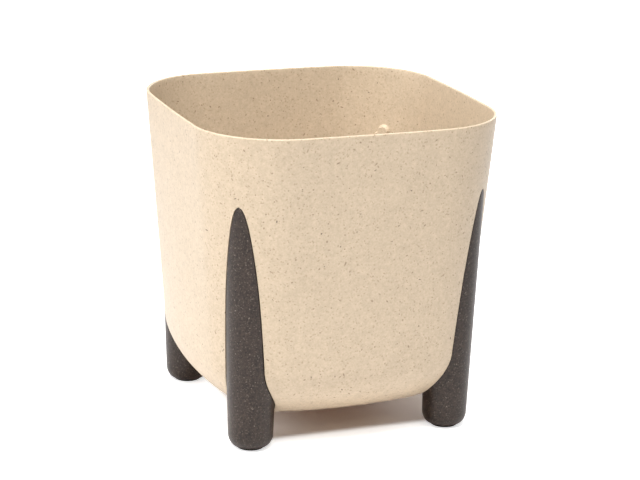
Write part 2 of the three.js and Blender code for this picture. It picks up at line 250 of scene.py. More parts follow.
sky_and_backdrop = glow_from(UP, SKY_STRENGTH) + glow_from(LEVEL_VIEW, BACKDROP_STRENGTH)
fill(surround.inputs["Strength"], larger(sky_and_backdrop, world_seen))
bpy.context.scene.world = world
bpy.context.scene.view_settings.view_transform = "Standard"


# Pot: one injection moulding of cream bio-composite with plant fibres in it. Its sides are arcs
# between round corners, and each corner has a recess for a leg and a blind boss for its screw.
pot_low, pot_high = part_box("pot")

# The sizes that the pot shares with its legs, by the names of the trees' inputs
SIZES = SimpleNamespace(
    height=pot_high.z,
    underside=pot_low.z,
    rim_width=0.300,
    base_width=0.266,
    rim_corner_radius=0.0805,
    base_corner_radius=0.071,
    rim_side_arc=2.0,
    base_side_arc=0.340,
    bowl_height=0.058,
    floor_corner_radius=0.0035,
    recess_depth=0.005,
    leg_beyond_pot=0.0112,
    leg_foot_radius=0.021,
    leg_top_radius=0.0258,
    leg_taper_height=0.160,
    leg_tip=pot_high.z - 0.067,
    leg_inset=0.0,
)
WALL = 0.003
RECESS_GAP = 0.0008
RIM_EDGE = 0.0012
LIP_EDGE = 0.0004
LINING_MARGIN = 0.0050
LINING_SHOULDER = 0.0020
LINING_RISE = 0.0009
DRAIN_RADIUS = 0.008
DRAIN_EDGE = 0.0006

# Where nothing bounds the leg's face, it counts as this much wider than its bar
UNBOUND = 0.001

# The least half width to which the recess's columns draw together above its tip
NARROWEST = 0.00015

# Points closer than this become one, and this many halvings find a height or an angle
MERGE_DISTANCE = 5e-6
HALVINGS = 40

DIAGONAL = math.sqrt(2)
QUARTER = math.pi / 2
CORNER = math.pi / 4

root = either_kind("SQRT", math.sqrt)
sine = either_kind("SINE", math.sin)
cosine = either_kind("COSINE", math.cos)
arcsine = either_kind("ARCSINE", math.asin)
direction = either_kind("ARCTAN2", math.atan2)
whole = either_kind("FLOOR", math.floor)
remainder = either_kind("FLOORED_MODULO", math.fmod)
size_of = either_kind("ABSOLUTE", abs)
above = either_kind("GREATER_THAN", lambda value, limit: float(value > limit))


def square(value):
    return value * value


def short_side(slanted, other):
    """The second short side of a right triangle, or 0 where the first is too long for one."""
    return root(larger(square(slanted) - square(other), 0))


def blend(low, high, share):
    return low + (high - low) * share


def along(step, first, count):
    """How far a step is through a stretch of so many steps: 0 before it and 1 after it."""
    return clamp((step - first) / count)


def section(sizes, height):
    """The square's arcs at a height: each side's, each corner's, and the angle where they meet."""
    share = height / sizes.height
    half_width = blend(sizes.base_width, sizes.rim_width, share) / 2
    corner_radius = blend(sizes.base_corner_radius, sizes.rim_corner_radius, share)
    side_radius = 1 / blend(1 / sizes.base_side_arc, 1 / sizes.rim_side_arc, share)
    back = side_radius - half_width
    spread = square(side_radius - corner_radius)
    centre = (root(2 * spread - square(back)) - back) / 2
    join = direction(centre, centre + back)
    return SimpleNamespace(
        corner_radius=corner_radius,
        side_radius=side_radius,
        back=back,
        corner_reach=centre * DIAGONAL,
        join=join,
    )


def bowl_top(sizes):
    return sizes.underside + sizes.bowl_height


def bowl_width(sizes):
    return section(sizes, sizes.underside).corner_radius - sizes.floor_corner_radius


def skin_inset(sizes, height, offset):
    """How far the bowl lies inside the walls' line at a height, drawn in by an offset."""
    below = clamp((bowl_top(sizes) - height) / (sizes.bowl_height - offset))
    return offset + (bowl_width(sizes) - offset) * (1 - root(1 - square(below)))


def wall_reach(sizes, height):
    """Distance from the pot's axis to the corner of its walls, along the diagonal."""
    shape = section(sizes, height)
    return shape.corner_reach + shape.corner_radius


def leg_bar(sizes, height):
    """The leg's round bar at a height: its radius and its axis's distance from the pot's axis."""
    taper = smaller(height / sizes.leg_taper_height, 1)
    radius = blend(sizes.leg_foot_radius, sizes.leg_top_radius, taper)
    foot = wall_reach(sizes, 0) + sizes.leg_beyond_pot
    outer = blend(foot, wall_reach(sizes, sizes.leg_tip), height / sizes.leg_tip)
    return radius - sizes.leg_inset, outer - radius


def chord_place(skin, bar, apart):
    """Where two circles cross: the distance of the chord from the first one's centre."""
    return (square(apart) + square(skin) - square(bar)) / (2 * apart)


def crossing(skin, bar, apart):
    """Half the width of the chord that two circles share, or 0 where they don't cross."""
    return short_side(skin, chord_place(skin, bar, apart))


def leg_face(skin, bar, apart):
    """Half the width of the leg's visible face, which has no bound where the bar stands clear."""
    clear = above(apart, chord_place(skin, bar, apart))
    return blend(crossing(skin, bar, apart), bar + UNBOUND, clear)


def closing_turn(sizes):
    """The angle down the bowl at which the recess leaves it, found by halving."""
    low, high = 0.0, QUARTER
    for _ in range(HALVINGS):
        turn = (low + high) / 2
        height = bowl_top(sizes) - sizes.bowl_height * math.sin(turn)
        radius, centre = leg_bar(sizes, height)
        skin = wall_reach(sizes, height) - skin_inset(sizes, height, 0)
        if skin > centre - radius - RECESS_GAP:
            low = turn
        else:
            high = turn
    return high


def new_tree(name, sizes):
    """A tree with a named input for each size, the sizes as fields, and its points' numbers."""
    tree = bpy.data.node_groups.new(name, "GeometryNodeTree")
    for label, value in vars(sizes).items():
        entry = tree.interface.new_socket(name=label, in_out="INPUT", socket_type="NodeSocketFloat")
        entry.default_value = value
    tree.interface.new_socket(name="mesh", in_out="OUTPUT", socket_type="NodeSocketGeometry")
    entries = tree.nodes.new("NodeGroupInput")
    fields = SimpleNamespace(**{label: Field(entries.outputs[label]) for label in vars(sizes)})
    index = Field(tree.nodes.new("GeometryNodeInputIndex").outputs["Index"])
    return tree, fields, index


def close_tree(tree, columns, rows, point, material):
    """Lays a grid of points over the shape that point gives, and closes its edges."""
    grid = add_node(tree, "GeometryNodeMeshGrid", {"Vertices X": columns, "Vertices Y": rows})
    place = add_node(tree, "ShaderNodeCombineXYZ", dict(enumerate(point)))
    shaped = add_node(tree, "GeometryNodeSetPosition", {"Position": place.outputs["Vector"]})
    merged = add_node(tree, "GeometryNodeMergeByDistance", {"Distance": MERGE_DISTANCE})
    smooth = add_node(tree, "GeometryNodeSetShadeSmooth")
    real = add_node(tree, "GeometryNodeRealizeInstances")
    finished = add_node(tree, "GeometryNodeSetMaterial", {"Material": material})
    leaving = add_node(tree, "NodeGroupOutput")
    chain = [grid, shaped, merged, smooth, real, finished, leaving]
    for node, following in zip(chain, chain[1:]):
        tree.links.new(node.outputs[0], following.inputs[0])


def finish_in(mesh, material):
    """Gives the whole of a mesh one material."""
    mesh.materials.clear()
    mesh.materials.append(material)


def made_by(tree, name, sizes, material):
    """The plain mesh object that a tree makes from these sizes."""
    holder = bpy.data.objects.new(name, bpy.data.meshes.new(name))
    bpy.context.scene.collection.objects.link(holder)
    modifier = holder.modifiers.new("shape", "NODES")
    modifier.node_group = tree
    for entry in tree.interface.items_tree:
        if entry.in_out == "INPUT":
            modifier[entry.identifier] = getattr(sizes, entry.name)
    shaped = holder.evaluated_get(bpy.context.evaluated_depsgraph_get())
    mesh = bpy.data.meshes.new_from_object(shaped)
    mesh.name = name
    finish_in(mesh, material)
    holder.modifiers.clear()
    holder.data = mesh
    return holder


# Steps of the pot's grid from the hole in its floor up to its rim, on one face of its wall
HOLE_EDGE_ROWS = 3
FLOOR_ROWS = 9
LOW_BOWL_ROWS = 8
HIGH_BOWL_ROWS = 22
WALL_ROWS = 44
TIP_ROWS = 1
ARCH_ROWS = 14
UPPER_ROWS = 10
RIM_EDGE_ROWS = 5

# Height above the leg's tip over which the arch's rows are spread
ARCH_HEIGHT = 0.009

# Steps from the middle of a corner to the middle of a side
RECESS_COLUMNS = 9
LIP_COLUMNS = 5
CORNER_COLUMNS = 13
SIDE_COLUMNS = 12

# The first column past a lip lies close beside it, by this share of the skin that is left, and
# the recess's columns fan out on the floor and above the tip
SUPPORT_SHARE = 0.008
FLOOR_FAN = 0.3
UPPER_FAN = 0.15

# The steps at which each stretch of rows and of columns starts
FIRST_FLOOR = HOLE_EDGE_ROWS
FIRST_LOW_BOWL = FIRST_FLOOR + FLOOR_ROWS
FIRST_HIGH_BOWL = FIRST_LOW_BOWL + LOW_BOWL_ROWS
FIRST_WALL = FIRST_HIGH_BOWL + HIGH_BOWL_ROWS
FIRST_TIP = FIRST_WALL + WALL_ROWS
FIRST_ARCH = FIRST_TIP + TIP_ROWS
FIRST_UPPER = FIRST_ARCH + ARCH_ROWS
FIRST_RIM = FIRST_UPPER + UPPER_ROWS
LAST_STEP = FIRST_RIM + RIM_EDGE_ROWS
POT_ROWS = 2 * (LAST_STEP + 1) + 1
FIRST_LIP = RECESS_COLUMNS + 1
FIRST_SKIN = FIRST_LIP + LIP_COLUMNS
FIRST_SPREAD = FIRST_SKIN + 1
FIRST_SIDE = FIRST_SPREAD + CORNER_COLUMNS
HALF_QUARTER = FIRST_SIDE + SIDE_COLUMNS
POT_COLUMNS = 8 * HALF_QUARTER + 1

# Added where steps are compared, so that rounding can't tip them
HALF_STEP = 0.5


def pot_row(sizes, step, inside):
    """One row of the pot, with its height and inset, from the drain hole's edge up to the rim."""
    offset = inside * WALL
    outward = 1 - 2 * inside
    hole_turn = along(step, 0, HOLE_EDGE_ROWS) * QUARTER
    low_share = 1 - along(step, FIRST_LOW_BOWL, LOW_BOWL_ROWS)
    high_share = 1 - square(along(step, FIRST_HIGH_BOWL, HIGH_BOWL_ROWS))
    turn = blend(sizes.closing_turn, QUARTER, low_share) * high_share
    rim_turn = along(step, FIRST_RIM, RIM_EDGE_ROWS) * QUARTER
    wall_share = 1 - square(1 - along(step, FIRST_WALL, WALL_ROWS))
    top = bowl_top(sizes)
    arch_top = sizes.leg_tip + ARCH_HEIGHT
    height = (
        top - (sizes.bowl_height - offset) * sine(turn)
        + outward * DRAIN_EDGE * (1 - sine(hole_turn))
        + (sizes.leg_tip - top) * wall_share
        + along(step, FIRST_TIP, TIP_ROWS) * RECESS_GAP
        + along(step, FIRST_ARCH, ARCH_ROWS) * (ARCH_HEIGHT - RECESS_GAP)
        + along(step, FIRST_UPPER, UPPER_ROWS) * (sizes.height - RIM_EDGE - arch_top)
        + sine(rim_turn) * RIM_EDGE
    )
    inset = (
        offset + (bowl_width(sizes) - offset) * (1 - cosine(turn))
        + outward * RIM_EDGE * (1 - cosine(rim_turn))
    )
    return SimpleNamespace(
        height=height,
        inset=inset,
        inside=inside,
        hole_turn=hole_turn,
        low_share=low_share,
        below_tip=above(FIRST_TIP + HALF_STEP, step),
        shape=section(sizes, height),
    )


def corner_point(sizes, row, number):
    """A point of the pot's corner: how far out it lies on the diagonal, and how far across."""
    inside = row.inside
    shape = row.shape
    skin = shape.corner_radius - row.inset
    outer_skin = shape.corner_radius - skin_inset(sizes, row.height, 0)
    recess_skin = shape.corner_radius - skin_inset(sizes, row.height, sizes.recess_depth)

    # The leg's bar, as the corner's own arc sees it
    bar, bar_reach = leg_bar(sizes, row.height)
    apart = bar_reach - shape.corner_reach
    face = leg_face(outer_skin, bar, apart)
    over_tip = larger(row.height - sizes.leg_tip - LINING_RISE, 0)
    fan = skin * row.low_share * FLOOR_FAN + over_tip * UPPER_FAN + NARROWEST

    # Outside: the recess, its rounded lip, and the skin
    loose_bar = bar + RECESS_GAP
    room = larger(skin - larger(recess_skin, apart - loose_bar), 0)
    lip = smaller(room / 2, LIP_EDGE) * row.below_tip
    recess_edge = larger(smaller(face + RECESS_GAP, crossing(skin - lip, loose_bar, apart)), fan)
    lip_turn = along(number, FIRST_LIP, LIP_COLUMNS) * QUARTER

    # Inside: the wall that lines the recess, arched over its tip, with a shoulder that slopes down
    def lining_width(margin, least):
        """Half the width of the lining where it reaches this far past the leg's face."""
        beside_leg = smaller(face + margin, crossing(skin, bar + margin, apart))
        return larger(smaller(beside_leg, short_side(margin, over_tip) + face), least)

    lining_edge = lining_width(LINING_MARGIN, fan)
    lining_foot = lining_width(LINING_MARGIN + LINING_SHOULDER, fan * 2)

    # Across: the recess or its lining, then the lip or the shoulder, then the skin
    edge = blend(recess_edge, lining_edge, inside)
    beyond = blend(
        lip * (1 - cosine(lip_turn)),
        (lining_foot - lining_edge) * along(number, RECESS_COLUMNS, LIP_COLUMNS + 1),
        inside,
    )
    skin_start = blend(recess_edge + lip, lining_foot, inside)
    first_turn = arcsine(clamp(skin_start / skin))
    support_share = SUPPORT_SHARE * along(number, FIRST_SKIN, 1)
    spread_share = (1 - SUPPORT_SHARE) * along(number, FIRST_SPREAD, CORNER_COLUMNS)
    skin_turn = blend(first_turn, CORNER - shape.join, support_share + spread_share)
    skin_across = skin * (sine(skin_turn) - sine(first_turn))
    across = edge * along(number, 0, RECESS_COLUMNS) + beyond + skin_across

    # Out: the recess's floor, its lip and the skin outside, the lining's slope inside
    recess_floor = larger(short_side(recess_skin, across), apart - short_side(loose_bar, across))
    outer_line = short_side(skin, across)
    recess_line = blend(outer_line, smaller(recess_floor, outer_line), row.below_tip)
    lip_line = short_side(skin - lip * (1 - sine(lip_turn)), across)
    outside_line = blend(recess_line, lip_line, above(number, RECESS_COLUMNS + HALF_STEP))
    to_bar = root(square(outer_line - apart) + square(across)) - bar
    below_distance = larger(across - face, to_bar)
    above_distance = root(square(across) + square(over_tip))
    distance = blend(above_distance, below_distance, row.below_tip)
    slope = clamp((distance - LINING_MARGIN) / LINING_SHOULDER)
    lining_depth = sizes.recess_depth * (1 - slope * slope * (3 - 2 * slope))
    inside_line = short_side(skin - lining_depth, across)
    return shape.corner_reach + blend(outside_line, inside_line, inside), across


def side_point(row, number):
    """The same for a point of the side's arc, whose centre lies behind the pot's axis."""
    shape = row.shape
    turn = CORNER - shape.join * (1 - along(number, FIRST_SIDE, SIDE_COLUMNS))
    radius = shape.side_radius - row.inset
    out = radius * cosine(turn) - shape.back / DIAGONAL
    across = radius * sine(turn) - shape.back / DIAGONAL
    return out, across


def pot_point(sizes, index):
    """The place of one point of the pot's skin, from its number in the grid."""
    column = whole((index + HALF_STEP) / POT_ROWS)

    # The rows go up the outside and down the inside
    loop = remainder(index - column * POT_ROWS, POT_ROWS - 1)
    inside = above(loop, LAST_STEP + HALF_STEP)
    step = smaller(loop, POT_ROWS - 2 - loop)
    row = pot_row(sizes, step, inside)

    # The columns run both ways from the middle of each corner
    quarter = whole((column + HALF_STEP) / (2 * HALF_QUARTER))
    from_corner = column - quarter * (2 * HALF_QUARTER) - HALF_QUARTER
    way = 2 * above(from_corner, 0) - 1
    number = size_of(from_corner)
    corner_out, corner_across = corner_point(sizes, row, number)
    side_out, side_across = side_point(row, number)
    on_side = above(number, FIRST_SIDE + HALF_STEP)
    out = blend(corner_out, side_out, on_side)
    across = blend(corner_across, side_across, on_side)

    # The floor's rows draw the outline in to the round hole
    hole = DRAIN_RADIUS + DRAIN_EDGE * (1 - cosine(row.hole_turn))
    hole_place = number * (CORNER / HALF_QUARTER)
    floor_share = along(step, FIRST_FLOOR, FLOOR_ROWS)
    out = blend(hole * cosine(hole_place), out, floor_share)
    across = blend(hole * sine(hole_place), across, floor_share) * way

    angle = quarter * QUARTER + CORNER
    x = out * cosine(angle) - across * sine(angle)
    y = out * sine(angle) + across * cosine(angle)
    return x, y, row.height


SIZES.closing_turn = closing_turn(SIZES)


# A fleck is solid up to the first share of its fibre's size, and gone past the second
FLECK_CORE = 0.6
FLECK_EDGE = 1.1
FLECK_SIZES = ("spacing", "length", "width", "share")


def fleck_group():
    """Short fibres scattered through the plastic. Each cell of a random pattern holds at most one,
    as a slim ellipsoid that points some way of its own, and the surface shows it cut through."""
    tree = bpy.data.node_groups.new("fibre_flecks", "ShaderNodeTree")
    tree.interface.new_socket(name="place", in_out="INPUT", socket_type="NodeSocketVector")
    for name in FLECK_SIZES:
        tree.interface.new_socket(name=name, in_out="INPUT", socket_type="NodeSocketFloat")
    for name in ("mask", "tone"):
        tree.interface.new_socket(name=name, in_out="OUTPUT", socket_type="NodeSocketFloat")
    entries = tree.nodes.new("NodeGroupInput").outputs
    place = entries["place"]
    spacing, length, width, share = (Field(entries[name]) for name in FLECK_SIZES)

    cells = add_node(tree, "ShaderNodeTexVoronoi", {"Vector": place, "Scale": 1 / spacing})
    offset = vector_math(tree, "SUBTRACT", place, cells.outputs["Position"])["Vector"]
    swing = vector_math(tree, "MULTIPLY_ADD", cells.outputs["Color"], (2, 2, 2), (-1, -1, -1))["Vector"]
    axis = vector_math(tree, "NORMALIZE", swing)["Vector"]
    lengthwise = Field(vector_math(tree, "DOT_PRODUCT", offset, axis)["Value"])
    whole_way = Field(vector_math(tree, "DOT_PRODUCT", offset, offset)["Value"])
    crosswise = larger(whole_way - square(lengthwise), 0)
    depth = root(square(lengthwise / length) + crosswise / square(width)) * 2
    chance = add_node(tree, "ShaderNodeTexWhiteNoise", {"Vector": cells.outputs["Color"]})
    present = above(share, Field(chance.outputs["Value"]))
    edge = add_node(tree, "ShaderNodeMapRange", {
        "Value": depth,
        "From Min": FLECK_CORE,
        "From Max": FLECK_EDGE,
        "To Min": 1.0,
        "To Max": 0.0,
    }, interpolation_type="SMOOTHSTEP")
    tone = add_node(tree, "ShaderNodeSeparateColor", {"Color": chance.outputs["Color"]})
    add_node(tree, "NodeGroupOutput", {
        "mask": Field(edge.outputs["Result"]) * present,
        "tone": tone.outputs["Blue"],
    })
    return tree


FIBRE_FLECKS = fleck_group()


def flecks(tree, place, fibres):
    """Where a layer of fibres shows on the surface, and the tone of each fibre, both 0 to 1."""
    node = add_node(tree, "ShaderNodeGroup", {"place": place}, node_tree=FIBRE_FLECKS)
    for name in FLECK_SIZES:
        node.inputs[name].default_value = getattr(fibres, name)
    return Field(node.outputs["mask"]), Field(node.outputs["tone"])


def noise(tree, place, grain):
    """Cloudy variation about 0, from -1 to 1, whose patches are about one grain across."""
    node = add_node(tree, "ShaderNodeTexNoise", {"Vector": place, "Scale": 1 / grain})
    return Field(node.outputs["Fac"]) * 2 - 1


def surface_finish(name, look):
    """A material whose shade drifts between two colours, in patches given by size and strength.
    Fibres lie over it in layers: each fleck covers its ground by a least share and more by its
    tone, and stands out by its relief. Roughness and skin vary in grains of their own."""
    material = bpy.data.materials.new(name)
    material.use_nodes = True
    tree = material.node_tree
    shader = tree.nodes["Principled BSDF"]
    place = tree.nodes.new("ShaderNodeTexCoord").outputs["Object"]

    # The shade starts halfway between its two colours
    drift = 0.5
    for grain, strength in look.patches.items():
        drift = drift + noise(tree, place, grain) * strength
    colour = mixed_colour(tree, clamp(drift), look.darkest, look.lightest)
    height = noise(tree, place, look.skin_grain) * look.skin_height
    for fibres in look.fibres:
        mask, tone = flecks(tree, place, fibres)
        colour = mixed_colour(tree, mask * (tone * fibres.varied + fibres.least), colour, fibres.colour)
        height = height + mask * fibres.relief
    fill(shader.inputs["Base Color"], colour)

    roughness = noise(tree, place, look.roughness_grain) * look.roughness_change + look.roughness
    fill(shader.inputs["Roughness"], clamp(roughness))
    shader.inputs["Metallic"].default_value = look.metallic
    shader.inputs["Specular IOR Level"].default_value = look.specular
    bump = add_node(tree, "ShaderNodeBump", {
        "Height": height,
        "Strength": look.bump_strength,
        "Distance": look.bump_distance,
    })
    fill(shader.inputs["Normal"], bump.outputs["Normal"])
    return material


# Pale, satin plastic full of brown plant fibres: many faint ones and a few dark ones
CREAM_LOOK = SimpleNamespace(
    darkest=(0.440, 0.350, 0.245, 1),
    lightest=(0.625, 0.505, 0.370, 1),
    patches={0.030: 0.08, 0.012: 0.20, 0.0045: 0.36, 0.0018: 0.50},
    fibres=[
        SimpleNamespace(
            spacing=0.0030, length=0.0030, width=0.0016, share=0.9,
            colour=(0.30, 0.21, 0.13, 1), least=0, varied=0.55, relief=0,
        ),
        SimpleNamespace(
            spacing=0.0058, length=0.0042, width=0.0016, share=0.85,
            colour=(0.20, 0.13, 0.08, 1), least=0, varied=0.75, relief=-0.3,
        ),
        SimpleNamespace(
            spacing=0.0120, length=0.0044, width=0.0014, share=0.40,
            colour=(0.07, 0.045, 0.028, 1), least=0.5, varied=0.4, relief=-0.5,
        ),
    ],
    roughness=0.38,
    roughness_change=0.06,
    roughness_grain=0.004,
    metallic=0,
    specular=0.35,
    skin_grain=0.0012,
    skin_height=0.4,
    bump_strength=0.25,
    bump_distance=0.00005,
)
cream = surface_finish("cream_composite", CREAM_LOOK)

pot_tree, pot_sizes, pot_index = new_tree("pot_shape", SIZES)
close_tree(pot_tree, POT_COLUMNS, POT_ROWS, pot_point(pot_sizes, pot_index), cream)
pot = made_by(pot_tree, "pot_shell", SIZES, cream)

# Each corner has a boss inside for a leg's screw, and the screw's blind hole goes up into it
SCREW_HOLE_RADIUS = 0.0028
SCREW_SEAT_HEIGHT = 0.024
SCREW_BITE = 0.012
BOSS_WALL = 0.0032
BOSS_EDGE = 0.001
COUNTERBORE_RADIUS = 0.0052
SEAT_GAP = 0.0003
POT_SHARP_ANGLE = math.radians(50)
CORNERS = {
    "front_left": math.radians(225),
    "front_right": math.radians(315),
    "back_right": math.radians(45),
    "back_left": math.radians(135),
}
EDGE_STEPS = 4
ROUND_STEPS = 48
_, SCREW_REACH = leg_bar(SIZES, SCREW_SEAT_HEIGHT)


def curved(start, bend, end, share):
    """A place on the curve that leaves start towards bend and reaches end from there."""
    return blend(blend(start, bend, share), blend(bend, end, share), share)


def softened(outline, edge):
    """The outline of a turned piece with each of its corners made a small curve."""
    corners = [Vector(point) for point in outline]
    points = [corners[0]]
    for before, corner, after in zip(corners, corners[1:], corners[2:]):
        start = corner + (before - corner).normalized() * min(edge, (before - corner).length / 2)
        end = corner + (after - corner).normalized() * min(edge, (after - corner).length / 2)
        points += [curved(start, corner, end, step / EDGE_STEPS) for step in range(EDGE_STEPS + 1)]
    return points + [corners[-1]]


def turned(name, outline, reach, material=None):
    """A closed piece turned round an upright line at this reach, from its radii and heights."""
    shape = bmesh.new()
    rings = []
    for radius, height in outline:
        count = ROUND_STEPS if radius > MERGE_DISTANCE else 1
        turns = [2 * math.pi * step / count for step in range(count)]
        ring = [
            shape.verts.new((reach + radius * math.cos(turn), radius * math.sin(turn), height))
            for turn in turns
        ]
        rings.append(ring if count > 1 else ring * ROUND_STEPS)
    for ring, following in zip(rings, rings[1:]):
        for step in range(ROUND_STEPS):
            corners = [ring[step - 1], ring[step], following[step], following[step - 1]]
            shape.faces.new(list(dict.fromkeys(corners))).smooth = True
    return object_of(shape, name, material)


def object_of(shape, name, material=None):
    mesh = bpy.data.meshes.new(name)
    shape.to_mesh(mesh)
    shape.free()
    if material:
        mesh.materials.append(material)
    made = bpy.data.objects.new(name, mesh)
    bpy.context.scene.collection.objects.link(made)
    return made


def rod_of(name, radius, low, high):
    """A plain round rod on a leg's screw line, to cut with."""
    return turned(name, [(0, low), (radius, low), (radius, high), (0, high)], SCREW_REACH)


def bar_of(name, low, high):
    """A plain square bar between two corners, to cut with."""
    shape = bmesh.new()
    size = Vector(high) - Vector(low)
    middle = (Vector(high) + Vector(low)) / 2
    bmesh.ops.create_cube(shape, size=1, matrix=Matrix.Translation(middle) @ Matrix.Diagonal((*size, 1)))
    return object_of(shape, name)


def combine(target, operation, tool):
    """Joins a tool to an object or cuts it out, and throws the tool away."""
    step = target.modifiers.new("combine", "BOOLEAN")
    step.operation = operation
    step.solver = "MANIFOLD"
    step.object = tool
    done = target.evaluated_get(bpy.context.evaluated_depsgraph_get())
    mesh = bpy.data.meshes.new_from_object(done)
    finish_in(mesh, target.data.materials[0])
    target.modifiers.clear()
    target.data = mesh
    bpy.data.objects.remove(tool)


def at_corner(block, name, corner_turn):
    """A copy of a block, turned about the pot's axis to its corner."""
    made = bpy.data.objects.new(name, block.data.copy())
    made.data.name = name
    made.data.transform(Matrix.Rotation(corner_turn, 4, "Z"))
    bpy.context.scene.collection.objects.link(made)
    return made


def recess_height(out, across, depth):
    """The height at which a point of the bowl lies this deep below the skin, found by halving."""
    low, high = SIZES.underside + depth, bowl_top(SIZES)
    for _ in range(HALVINGS):
        height = (low + high) / 2
        shape = section(SIZES, height)
        skin = shape.corner_radius - skin_inset(SIZES, height, depth)
        if math.hypot(out - shape.corner_reach, across) > skin:
            low = height
        else:
            high = height
    return high


screw_tip = recess_height(SCREW_REACH, 0, SIZES.recess_depth) + SCREW_BITE
hole_top = screw_tip + SEAT_GAP
boss_radius = SCREW_HOLE_RADIUS + BOSS_WALL
boss_top = hole_top + WALL
boss_outline = [
    (0, SIZES.underside),
    (boss_radius, SIZES.underside),
    (boss_radius, boss_top),
    (0, boss_top),
]
boss_block = turned("boss_block", softened(boss_outline, BOSS_EDGE), SCREW_REACH)

# The boss's lower end follows the recess's wall, halfway through its thickness
for vertex in boss_block.data.vertices:
    if vertex.co.z < SIZES.underside + 2 * BOSS_EDGE:
        vertex.co.z = recess_height(vertex.co.x, vertex.co.y, SIZES.recess_depth + WALL / 2)
hole_block = rod_of("hole_block", SCREW_HOLE_RADIUS, SCREW_SEAT_HEIGHT, hole_top)
for corner_name, corner_turn in CORNERS.items():
    combine(pot, "UNION", at_corner(boss_block, f"boss_{corner_name}", corner_turn))
    combine(pot, "DIFFERENCE", at_corner(hole_block, f"hole_{corner_name}", corner_turn))
bpy.data.objects.remove(boss_block)
bpy.data.objects.remove(hole_block)
pot.data.name = "pot_shell"
pot.data.set_sharp_from_angle(angle=POT_SHARP_ANGLE)
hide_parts("pot")
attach(pot, "planter")


# Legs: four hollow mouldings of the dark bio-composite, each a tapered round bar cut to a pointed
# face where it lies in the pot's corner. Each slides up into its recess and hangs on one screw.
FIT_GAP = 0.0004
FOOT_EDGE_WIDTH = 0.0075
FOOT_EDGE_HEIGHT = 0.011
LEG_EDGE = 0.0003
LEG_WALL = 0.0032
HOLLOW_PAST_BACK = 0.012
RIB_THICKNESS = 0.0024
RIB_SPACING = 0.038
FIRST_RIB_HEIGHT = 0.086
LEG_SHARP_ANGLE = math.radians(35)

# Steps of the leg's grid from the middle of its foot to its tip
FOOT_ROWS = 8
COLUMN_ROWS = 6
BOWL_ROWS = 24
FACE_ROWS = 44

# Steps from the middle of its front to the middle of its back
FRONT_COLUMNS = 20
EDGE_COLUMNS = 3
FLANK_COLUMNS = 3
BACK_COLUMNS = 6

# The steps at which each stretch of rows and of columns starts
FIRST_FOOT = 1
FIRST_COLUMN = FIRST_FOOT + FOOT_ROWS
FIRST_BOWL = FIRST_COLUMN + COLUMN_ROWS
FIRST_FACE = FIRST_BOWL + BOWL_ROWS
LAST_FACE = FIRST_FACE + FACE_ROWS
LEG_ROWS = LAST_FACE + 2
FIRST_EDGE = FRONT_COLUMNS
FIRST_FLANK = FIRST_EDGE + EDGE_COLUMNS
FIRST_BACK = FIRST_FLANK + FLANK_COLUMNS
HALF_ROUND = FIRST_BACK + BACK_COLUMNS
LEG_COLUMNS = 2 * HALF_ROUND + 1


def leg_row(sizes, row):
    """A row's height, and the bar's radius and reach there, drawn in at the foot's round edge."""
    foot_turn = (1 - along(row, FIRST_FOOT, FOOT_ROWS)) * QUARTER
    face_share = 1 - square(1 - along(row, FIRST_FACE, FACE_ROWS))
    bowl_share = along(row, FIRST_BOWL, BOWL_ROWS)
    bowl_share = bowl_share * (bowl_share + 1) / 2
    top = bowl_top(sizes)
    column_height = sizes.leg_parting - sizes.leg_bottom - FOOT_EDGE_HEIGHT
    height = (
        sizes.leg_bottom + FOOT_EDGE_HEIGHT * (1 - sine(foot_turn))
        + column_height * along(row, FIRST_COLUMN, COLUMN_ROWS)
        + (top - sizes.leg_parting) * bowl_share
        + (sizes.face_tip - top) * face_share
    )
    full_bar, bar_reach = leg_bar(sizes, height)
    return height, full_bar - FOOT_EDGE_WIDTH * (1 - cosine(foot_turn)), bar_reach


def leg_outline(sizes, height, bar, bar_reach, number):
    """A point of the leg's outline at a height, measured from the bar's axis: how far outwards on
    the corner's diagonal, and how far across. The face ends where the bar comes out of the pot's
    corner, and the back follows the recess."""
    shape = section(sizes, height)
    apart = bar_reach - shape.corner_reach
    skin = shape.corner_radius - skin_inset(sizes, height, sizes.leg_inset)
    back_skin = shape.corner_radius - skin_inset(sizes, height, sizes.recess_depth - FIT_GAP)
    face = larger(leg_face(skin, bar, apart) - sizes.leg_inset, 0)
    chord_line = larger(chord_place(skin, bar, apart) - apart, -1 * bar)
    edge_line = blend(short_side(bar, face), chord_line, above(0, chord_line))
    edge_turn = direction(short_side(bar, edge_line), edge_line)
    edge = smaller(short_side(bar, edge_line) / 2, LEG_EDGE) * above(edge_line, 0)
    front_turn = (edge_turn - edge / bar) * along(number, 0, FRONT_COLUMNS)
    front_across = bar * sine(front_turn)
    front_line = bar * cosine(front_turn)

    # The edge is a curve that leaves the face and meets the flank
    flank_top = edge_line - edge
    flank_half = smaller(face, short_side(bar, flank_top))
    bend = along(number, FIRST_EDGE, EDGE_COLUMNS)
    bent_across = curved(front_across, short_side(bar, edge_line), flank_half, bend)
    bent_line = curved(front_line, edge_line, flank_top, bend)

    back_half = smaller(face, crossing(back_skin, bar, apart))
    back_edge = larger(short_side(back_skin, back_half) - apart, -1 * short_side(bar, back_half))
    flank_line = blend(flank_top, back_edge, along(number, FIRST_FLANK, FLANK_COLUMNS))
    flank_across = smaller(face, short_side(bar, flank_line))
    back_across = back_half * (1 - along(number, FIRST_BACK, BACK_COLUMNS))
    back_line = larger(short_side(back_skin, back_across) - apart, -1 * short_side(bar, back_across))

    on_flank = above(number, FIRST_FLANK + HALF_STEP)
    on_back = above(number, FIRST_BACK + HALF_STEP)
    line = blend(blend(bent_line, flank_line, on_flank), back_line, on_back)
    across = blend(blend(bent_across, flank_across, on_flank), back_across, on_back)
    return line, across


